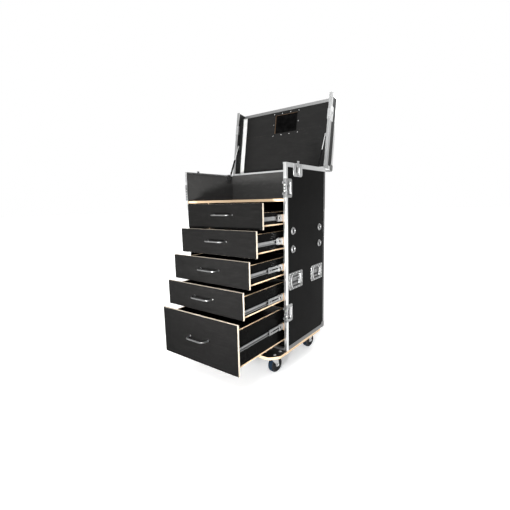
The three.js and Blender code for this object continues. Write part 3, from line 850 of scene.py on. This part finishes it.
def stacking_cups():
    """Four small round cups on the right side panel, each with a black plate at its middle, which is
    painted shade for the cup's hole.
    """
    ring = [(0, 1.2), (13, 1.2), (14.5, 2), (16.5, 7), (18, 8.4), (20, 8), (23.5, 2.6), (25, 1),
            (25, 0), (0, -0.4)]
    for k, (y, z) in enumerate(product((86, 468), (800, 680)), 1):
        cup = Piece().lathe(ring, (SKIN - 0.1, y, z), OUT, 40)
        cup.plate(mid(y, 20), mid(z, 27), 7, (SKIN + 1, SKIN + 2.2), 0.4, material=1)
        cup.done(f"cup_{k}", "case", "zinc_steel", LATCH_STEEL, BLACK_NYLON_AND_HOLE_SHADE)


for side_name, sign in SIDES.items():
    for place_name, place_y in HANDLE_SPOTS.items():
        bail_handle(side_name, sign, place_name, place_y)
    for latch_name, latch_z in COVER_LATCHES.items():
        cover_latch(side_name, sign, latch_name, latch_z)
    lid_latch(side_name, sign)
stacking_cups()


# ---- lid
LABEL_X = (-98.6, 115)
LABEL_Y = (45.3, 199.3)
LID_WALL = SKIN - INNER
LID_UNDER = LID_TOP - 2 - LID_WALL


def lid_boards():
    """The lid's plywood: a top panel with the label window cut in it, two sides and a back."""
    front, back = LID_FRONT + 2, DEPTH - 2
    sheet = (LID_UNDER, LID_UNDER + LID_WALL)
    wall_z = (HEIGHT + 3.2, LID_UNDER - 0.1)
    panel = Piece()
    panel.block((-SKIN, SKIN), (front, LABEL_Y[0]), sheet, 0.3, thin="z")
    panel.block((-SKIN, SKIN), (LABEL_Y[1], back), sheet, 0.3, thin="z")
    panel.block((-SKIN, LABEL_X[0]), LABEL_Y, sheet, 0.0, thin="z")
    panel.block((LABEL_X[1], SKIN), LABEL_Y, sheet, 0.0, thin="z")
    panel.done("lid_top_board", "lid", "black_plywood", FILM_X, SHADED_EDGE["Z"],
               replaces=["lid_shell"])
    for name, side in SIDES.items():
        wall = Piece(side).block((INNER, SKIN), (front, back), wall_z, 0.3, thin="x")
        wall.done(f"lid_{name}_board", "lid", "black_plywood", FILM_X, EDGE["X"])
    rear = Piece().block((-INNER + 0.1, INNER - 0.1), (back - LID_WALL, back), wall_z, 0.3, thin="y")
    rear.done("lid_back_board", "lid", "black_plywood", FILM_X, EDGE["Y"])


def lid_edges():
    """Outer corner angles: along both sides, the back and the free front edge."""
    leg = RIM_LEG
    section = angle_section(leg, ALU)
    upright_z = (HEIGHT + LID_RIM_TALL + 0.7, LID_TOP - leg - 0.3)
    for name, side in SIDES.items():
        edge = Piece(side).prism([(HALF_W - u, LID_TOP - v) for u, v in section], "y",
                                 (LID_FRONT, DEPTH - 0.2))
        edge.rivets(HALF_W, SIDE_ROW, LID_TOP - 16, OUT).rivets(HALF_W - 16, SIDE_ROW, LID_TOP, UP)
        edge.done(f"lid_{name}_edge_angle", "lid", "aluminium", ALU_Y)
        post = Piece(side).prism([(HALF_W - u, DEPTH - v) for u, v in section], "z", upright_z)
        post.done(f"lid_{name}_rear_angle", "lid", "aluminium", ALU_Z)
        nose = Piece(side).block(proud(-ALU, 0), (LID_FRONT, LID_FRONT + leg), upright_z, 0.4)
        nose.block((INNER - 0.3, HALF_W), (LID_FRONT, LID_FRONT + ALU), (HEIGHT + 0.4, LID_TOP - ALU), 0.4)
        nose.done(f"lid_{name}_front_angle", "lid", "aluminium", ALU_Z)
    rear = Piece().prism([(DEPTH - u, LID_TOP - v) for u, v in section], "x",
                         (-HALF_W + leg + 0.3, HALF_W - leg - 0.3))
    rear.rivets(BACK_ROW, DEPTH, LID_TOP - 16, BACK).rivets(BACK_ROW, DEPTH - 16, LID_TOP, UP)
    rear.done("lid_rear_edge_angle", "lid", "aluminium", ALU_X)
    thick, under = 16.0, 24.5
    cap = [(0, 0), (0, -thick), (under, -thick), (under, ALU - thick), (ALU, ALU - thick), (ALU, -ALU),
           (leg, -ALU), (leg, 0)]
    front = Piece().prism(moved(cap, LID_FRONT, LID_TOP), "x", (-INNER + 0.4, INNER - 0.4))
    front.rivets(BACK_ROW, LID_FRONT + 14, LID_TOP, UP)
    front.done("lid_front_edge_cap", "lid", "aluminium", ALU_CAP)


def lid_rim():
    """The closing profile on the lid's sides and back, with a groove for the tongue below."""
    base, tall, deep = HEIGHT + 0.35, LID_RIM_TALL, 22.8
    section = [(0, tall), (0, 1), (-1, 0), (-8, 0), (-8.6, 2), (-13, 2), (-13.6, 0), (1 - deep, 0),
               (-deep, 1), (-deep, 9), (1.4 - deep, 9), (1.4 - deep, 2.4), (-ALU, 2.4), (-ALU, tall)]
    rim = Piece()
    for side in SIDES.values():
        rim.on(side).prism(moved(section, HALF_W, base), "y", (LID_FRONT + 0.5, DEPTH - 0.2))
        rim.rivets(HALF_W, SIDE_ROW, base + 15, OUT)
    rear = [(0, tall), (0, 1), (-1, 0), (-15, 0), (-16, 1), (-16, 2.4), (-ALU, 2.4), (-ALU, tall)]
    rim.prism(moved(rear, DEPTH, base), "x", (-HALF_W + 0.2, HALF_W - 0.2), material=1)
    rim.done("lid_rim_profile", "lid", "aluminium", ALU_RIM, ALU_X)


def lid_inner_trim():
    """Flat aluminium strips in the inside corners between the top panel and the walls."""
    wide = 33
    reach = (LID_FRONT + 25, BACK_IN - 0.4)
    for name, side in SIDES.items():
        strip = Piece(side)
        strip.block((INNER - wide, INNER - 0.2), reach, (LID_UNDER - ALU, LID_UNDER - 0.05), 0.5)
        strip.block((INNER - ALU, INNER - 0.05), reach, (LID_UNDER - 14, LID_UNDER - 0.1), 0.4)
        strip.rivets(INNER - 20, steps(60, 108, 5), LID_UNDER - ALU, DOWN, 2.8)
        strip.done(f"lid_{name}_inner_trim", "lid", "aluminium", TRIM_PAINTED_LIGHT)


def label_dish():
    """The label dish riveted over the window from outside. Inside, only its back shows; it is near-black
    without reflection, which is painted shade in the window.
    """
    top = LID_TOP - 1.9
    outer, inner = shrink([LABEL_X, LABEL_Y], -24), shrink([LABEL_X, LABEL_Y], 1.2)
    floor = shrink(inner, 1)
    loops = [(floor, 5, top - 3.2), (inner, 5, top - 2.2), (inner, 5, top + 0.9), (outer, 12, top + 0.9),
             (outer, 12, top), (floor, 5, top - 4)]
    tray = Piece().loft([ring_at(rounded(*ranges, radius), "z", z) for ranges, radius, z in loops])
    tray.done("label_dish", "lid", "zinc_steel", LABEL_BACK_PAINTED_SHADE)
    across = (-113, -33, 47, 127)
    rows = (LABEL_Y[0] - 11, LABEL_Y[1] + 16)
    middle = sum(LABEL_Y) / 2
    rivets = Piece()
    for z, axis, radius in ((LID_UNDER, DOWN, 4.2), (top + 0.9, UP, 3.2)):
        rivets.rivets(across, rows, z, axis, radius).rivets(across[::3], middle, z, axis, radius)
    rivets.done("label_dish_rivets", "lid", "zinc_steel", BRIGHT)


def lid_catches():
    """The lid half of each latch: a riveted plate wrapped over the rim with a catch lip."""
    base = HEIGHT + 0.35
    y = LID_LATCH[0] + 4
    flat = [(0, 0.08), (5, 0.08), (5, -1), (0, -1)]
    for name, side in SIDES.items():
        catch = Piece(side)
        catch.plate(mid(y, 112), (base, base + 44), 11, proud(-0.1, 1.6), 0.6)
        catch.block(proud(-26, 1.6), mid(y, 76), (base - 0.1, base + 1.4), 0.4)
        catch.block(proud(-26.5, -24), mid(y, 76), (base, base + 16), 0.6)
        catch.block(proud(1.4, 5.2), mid(y - 4, 30), (base + 22, base + 27), 1)
        for dy in (-28, 28):
            catch.lathe(flat, (HALF_W - 13, y + dy, base - 0.1), DOWN, 16, material=1)
        catch.rivets(HALF_W + 1.6, (y - 42, y + 42), base + 26, OUT, 3.2)
        catch.done(f"{name}_lid_catch", "lid", "zinc_steel", ZINC, BRIGHT)


def hinges():
    """Two back hinges: a leaf on the carcass, a leaf on the lid and interleaved knuckles."""
    leaf_y = (DEPTH, DEPTH + 1.8)
    knuckle = [(0, 0.4), (4.6, 0.4), (4.6, 23.6), (0, 23.6)]
    for k, x in enumerate((-223, 223), 1):
        case_leaf = Piece().block(mid(x, 120), leaf_y, (HINGE_Z - 46, HINGE_Z))
        lid_leaf = Piece().block(mid(x, 120), leaf_y, (HINGE_Z + 6, HINGE_Z + 52))
        lid_leaf.block(mid(x, 120), (DEPTH + 1.6, HINGE_Y + 1), (HINGE_Z + 4.4, HINGE_Z + 6.2), 0.4)
        for j, low in enumerate(steps(x - 60, 24, 5)):
            leaf = lid_leaf if j % 2 else case_leaf
            leaf.lathe(knuckle, (low, HINGE_Y, HINGE_Z), OUT, 18)
        case_leaf.rivets(steps(x - 44, 44, 3), leaf_y[1], HINGE_Z - 30, BACK, 3.2)
        lid_leaf.rivets(steps(x - 44, 44, 3), leaf_y[1], HINGE_Z + 36, BACK, 3.2)
        case_leaf.done(f"hinge_{k}_case_leaf", "case", "zinc_steel", ZINC)
        lid_leaf.done(f"hinge_{k}_lid_leaf", "lid", "zinc_steel", ZINC)


lid_boards()
lid_edges()
lid_rim()
lid_inner_trim()
label_dish()
lid_catches()
hinges()


# ---- gas springs
SPRING_SIDE = 431.9


def gas_spring(name, side):
    """Black cylinder below, bright rod above, a ball joint and bracket at each end."""
    cylinder, rod_node = f"{name}_gas_cylinder", f"{name}_gas_rod"
    foot = joint_at(f"{name}_gas_pivot")
    axis = Vector(JOINTS[f"{name}_gas_stroke"]["axis"])
    length = (span(rod_node)[2][1] - foot.z) / axis.z - 6
    head = foot + axis * length
    tube = Piece().lathe([(0, 8), (5, 8), (7.5, 12), (7.5, 146), (6.6, 149), (4, 150), (0, 150)],
                         foot, axis, 20)
    tube.done(f"{cylinder}_tube", cylinder, "black_steel", BLACK_PAINT, replaces=[cylinder])
    socket = Piece().lathe([(0, -7), (4, -7), (6.5, -4), (6.5, 6), (4.5, 9), (0, 9)], foot, axis, 16)
    socket.done(f"{name}_gas_foot_socket", cylinder, "black_steel", DARK_STEEL)
    rod = Piece().lathe([(0, 140), (3.5, 140), (3.5, length - 8), (0, length - 8)], foot, axis, 18)
    rod.lathe([(0, -10), (4.5, -10), (6.2, -7), (6.2, 4), (4, 7), (0, 7)], head, axis, 16, material=1)
    rod.done(f"{rod_node}_bar", rod_node, "zinc_steel", BRIGHT, ZINC, replaces=[rod_node])
    shut = (LID_SWING.inverted() @ row(*head) - row(0, 0, 0)) / MM
    stud = [(0, 0), (4, 0), (4, 1.4), (2.6, 2), (0, 2)]
    cheek, shelf = (SPRING_SIDE, SPRING_SIDE + 1.7), (SPRING_SIDE, INNER - 0.1)
    bracket, plate = (Piece(side).lathe(stud, (SPRING_SIDE - 2, end.y, end.z), OUT, 14)
                      for end in (foot, shut))
    reach = mid(foot.y - 12, 44)
    bracket.plate(reach, (foot.z - 34, foot.z + 5), 5, cheek, 0.4)
    bracket.block(shelf, reach, (foot.z - 36, foot.z - 34), 0.3)
    bracket.block((INNER - 2.2, INNER - 0.1), reach, (foot.z - 62, foot.z - 35), 0.5)
    bracket.rivets(INNER - 2.2, (foot.y - 28, foot.y + 4), foot.z - 50, (-1, 0, 0))
    bracket.done(f"{name}_gas_foot_bracket", "case", "zinc_steel", DISH)
    plate.plate(mid(shut.y, 38), (shut.z - 6, shut.z + 26), 5, cheek, 0.4)
    plate.block(shelf, mid(shut.y, 38), (shut.z + 24, shut.z + 26), 0.3)
    plate.done(f"{name}_gas_head_bracket", "lid", "zinc_steel", DISH)


# ---- castors
def castor_mount(tag, swivel):
    """The fixed plate under the board with its bolts, and the bolt heads on top of the board."""
    top = -BOARD_T - 0.1
    plate = Piece().prism(rounded(mid(swivel.x, 100), mid(swivel.y, 86), 8), "z", (top - 3.6, top), 0.6)
    plate.done(f"castor_plate_{tag}", "case", "zinc_steel", ZINC)
    head = [(0, 5.5), (5, 5), (8.6, 3), (10.5, 0.8), (10.5, 0.05), (0, 0.05)]
    nut = [(0, 10), (5.4, 10), (6.6, 8.6), (6.6, 0), (9, 0), (9, -0.2), (0, -0.2)]
    bolts = Piece()
    for x, y in product(mid(swivel.x, 76), mid(swivel.y, 66)):
        bolts.lathe(head, (x, y, 0), UP, 20).lathe(nut, (x, y, top - 3.7), DOWN, 6)
    bolts.done(f"castor_bolts_{tag}", "case", "zinc_steel", YELLOW_ZINC)


def castor_fork(tag, swivel, hub, axle):
    """Swivel head with its ball race, a crown and two pressed legs down to the axle."""
    node = f"castor_fork_{tag}"
    top = span(node)[2][1] + 0.1
    race = [(0, 0), (31, 0), (34, -3), (34, -8), (30, -11), (30, -14.5), (0, -14.5)]
    fork = Piece().lathe(race, (swivel.x, swivel.y, top), UP, 32)
    roll = Vector((-axle.y, axle.x, 0))
    lean = 1 if (hub - swivel).dot(roll) > 0 else -1
    trail = (hub - swivel).to_2d().length * lean
    crown = top - 12
    turn = Matrix(((axle.x, roll.x, 0), (axle.y, roll.y, 0), (0, 0, 1))).to_4x4()
    fork.place = Matrix.Translation((swivel.x, swivel.y, 0)) @ turn
    cheek = [(-27 * lean, crown + 1), (-30 * lean, crown - 4), (-28 * lean, crown - 10),
             (trail - 14 * lean, hub.z + 8)]
    cheek += [(trail + lean * 14 * math.cos(a), hub.z - 14 * math.sin(a))
              for a in map(math.radians, range(180, -1, -30))]
    cheek += [(30 * lean, crown - 8), (30 * lean, crown - 3), (27 * lean, crown + 1)]
    for reach in ((-23, -20), (20, 23)):
        fork.prism(cheek, "x", reach, 0.5)
    fork.prism(rounded((-23, 23), (-29, 29), 5), "z", (crown - 2, crown + 1.4), 0.5)
    bolt = [(0, -31), (6.8, -31), (8, -29.5), (8, -24.6), (10, -24.4), (10, -23), (0, -23)]
    for side, sides in ((-1, 16), (1, 6)):
        fork.lathe([(r, side * h) for r, h in bolt], (0, trail, hub.z), OUT, sides, material=1)
    fork.done(f"{node}_steel", node, "zinc_steel", ZINC, BRIGHT, replaces=[node])


def castor_wheel(tag, hub, axle):
    """Blue elastic tyre moulded onto a black nylon centre with a raised hub."""
    node = f"castor_wheel_{tag}"
    radius = hub.z - FLOOR_Z
    tread = [(radius - 9, 15.5), (radius - 4, 16.8), (radius - 1.5, 14.5), (radius - 0.2, 10), (radius, 5)]
    core = [(6.6, 18), (13, 18), (15, 16), (15.5, 10), (32, 8.5), (38, 12), (40, 17), (radius - 5, 18),
            (radius - 3.6, 16.4), (radius - 8, 14)]
    wheel = Piece()
    for profile, material in ((tread, 1), (core, 0)):
        half = [(r, -h) for r, h in profile]
        wheel.lathe(half + profile[::-1] + half[:1], hub, axle, 56, material)
    wheel.done(f"{node}_tyre_and_core", node, "blue_tyre", BLACK_NYLON_AND_HOLE_SHADE, BLUE_RUBBER, replaces=[node])


for side_name, sign in SIDES.items():
    gas_spring(side_name, sign)
for side_name in SIDES:
    for end_name in ("front", "rear"):
        corner = f"{end_name}_{side_name}"
        swivel_at, hub_at = joint_at(f"castor_swivel_{corner}"), joint_at(f"castor_spin_{corner}")
        axle_along = Vector(JOINTS[f"castor_spin_{corner}"]["axis"])
        castor_mount(corner, swivel_at)
        castor_fork(corner, swivel_at, hub_at, axle_along)
        castor_wheel(corner, hub_at, axle_along)


# ---- studio
def area_light(name, at, target, size, power, spread=180):
    data = bpy.data.lights.new(name, "AREA")
    data.shape = "RECTANGLE"
    data.size, data.size_y = size
    data.energy = power
    data.spread = math.radians(spread)
    lamp = bpy.data.objects.new(name, data)
    lamp.location = at
    lamp.rotation_euler = (Vector(target) - Vector(at)).to_track_quat("-Z", "Y").to_euler()
    bpy.context.collection.objects.link(lamp)


FLOOR_GLOW = (0.38, 0.95)
FLOOR_GLOW_REACH = (0.6, 5.0)
FLOOR_REACH = 40
FLOOR_DROP = 0.0005
WHITE_TOWARD = (-0.6, 0.8, 0)


def studio_world():
    """A white cyclorama behind the case, falling off to grey flags at the sides and front."""
    world = bpy.data.worlds.new("studio_world")
    world.use_nodes = True
    tree = world.node_tree
    place = add_node(tree, "TexCoord").outputs["Generated"]
    dot = add_node(tree, "VectorMath")
    dot.operation = "DOT_PRODUCT"
    tree.links.new(place, dot.inputs[0])
    dot.inputs[1].default_value = WHITE_TOWARD
    fall = add_node(tree, "MapRange", Value=dot.outputs["Value"], From_Min=0.40, From_Max=0.66,
                    To_Min=0.5, To_Max=1.0)
    fall.interpolation_type = "SMOOTHSTEP"
    background = tree.nodes["Background"]
    background.inputs["Color"].default_value = (1, 1, 1, 1)
    tree.links.new(fall.outputs["Result"], background.inputs["Strength"])
    return world


def studio_floor():
    """A pale floor that glows a little more the further it is from the case."""
    mesh = bpy.data.meshes.new("studio_floor")
    corners = [(-1, -1), (1, -1), (1, 1), (-1, 1)]
    mesh.from_pydata([(x * FLOOR_REACH, y * FLOOR_REACH, -FLOOR_DROP) for x, y in corners], [],
                     [(0, 1, 2, 3)])
    floor = bpy.data.objects.new("studio_floor", mesh)
    bpy.context.collection.objects.link(floor)
    finish = Nodes("studio_floor_paint", (0.9, 0.9, 0.9), 0.7)
    tone = finish.noise(size=2, detail=2)
    finish.link(finish.ramp(tone, (0.3, (0.88, 0.88, 0.88)), (0.7, (0.92, 0.92, 0.92))), "Base Color")
    finish.set("Emission Color", (1, 1, 1, 1))
    away = add_node(finish.tree, "VectorMath")
    away.operation = "LENGTH"
    finish.tree.links.new(finish.place, away.inputs[0])
    glow = finish.span(away.outputs["Value"], *FLOOR_GLOW, *FLOOR_GLOW_REACH)
    finish.link(glow, "Emission Strength")
    mesh.materials.append(finish.material)


def studio():
    studio_floor()
    bpy.context.scene.world = studio_world()
    centre = (0.1, -0.3, 0.8)
    area_light("key", (0.95, -2.1, 0.66), (0.15, -0.45, 0.72), (0.22, 0.22), 17, 60)
    area_light("window", (-3.3, -3.2, 0.25), centre, (1.6, 0.5), 20)
    area_light("front_card", (-1.7, -3.6, 1.0), centre, (2.2, 2.0), 3)
    area_light("high_card", (-2.9, -2.3, 3.2), (0, 0.4, 1.6), (2.0, 2.0), 8)
    area_light("front_top", (0.5, -2.2, 2.9), (0, 0.2, 1.3), (1.0, 1.0), 38)
    area_light("overhead", (0.2, -1.6, 4.8), centre, (4.0, 3.0), 70)
    area_light("rear", (1.6, 3.6, 3.4), (0, 0.3, 1.0), (2.0, 2.0), 30)
    bpy.context.scene.view_settings.view_transform = "Standard"


studio()
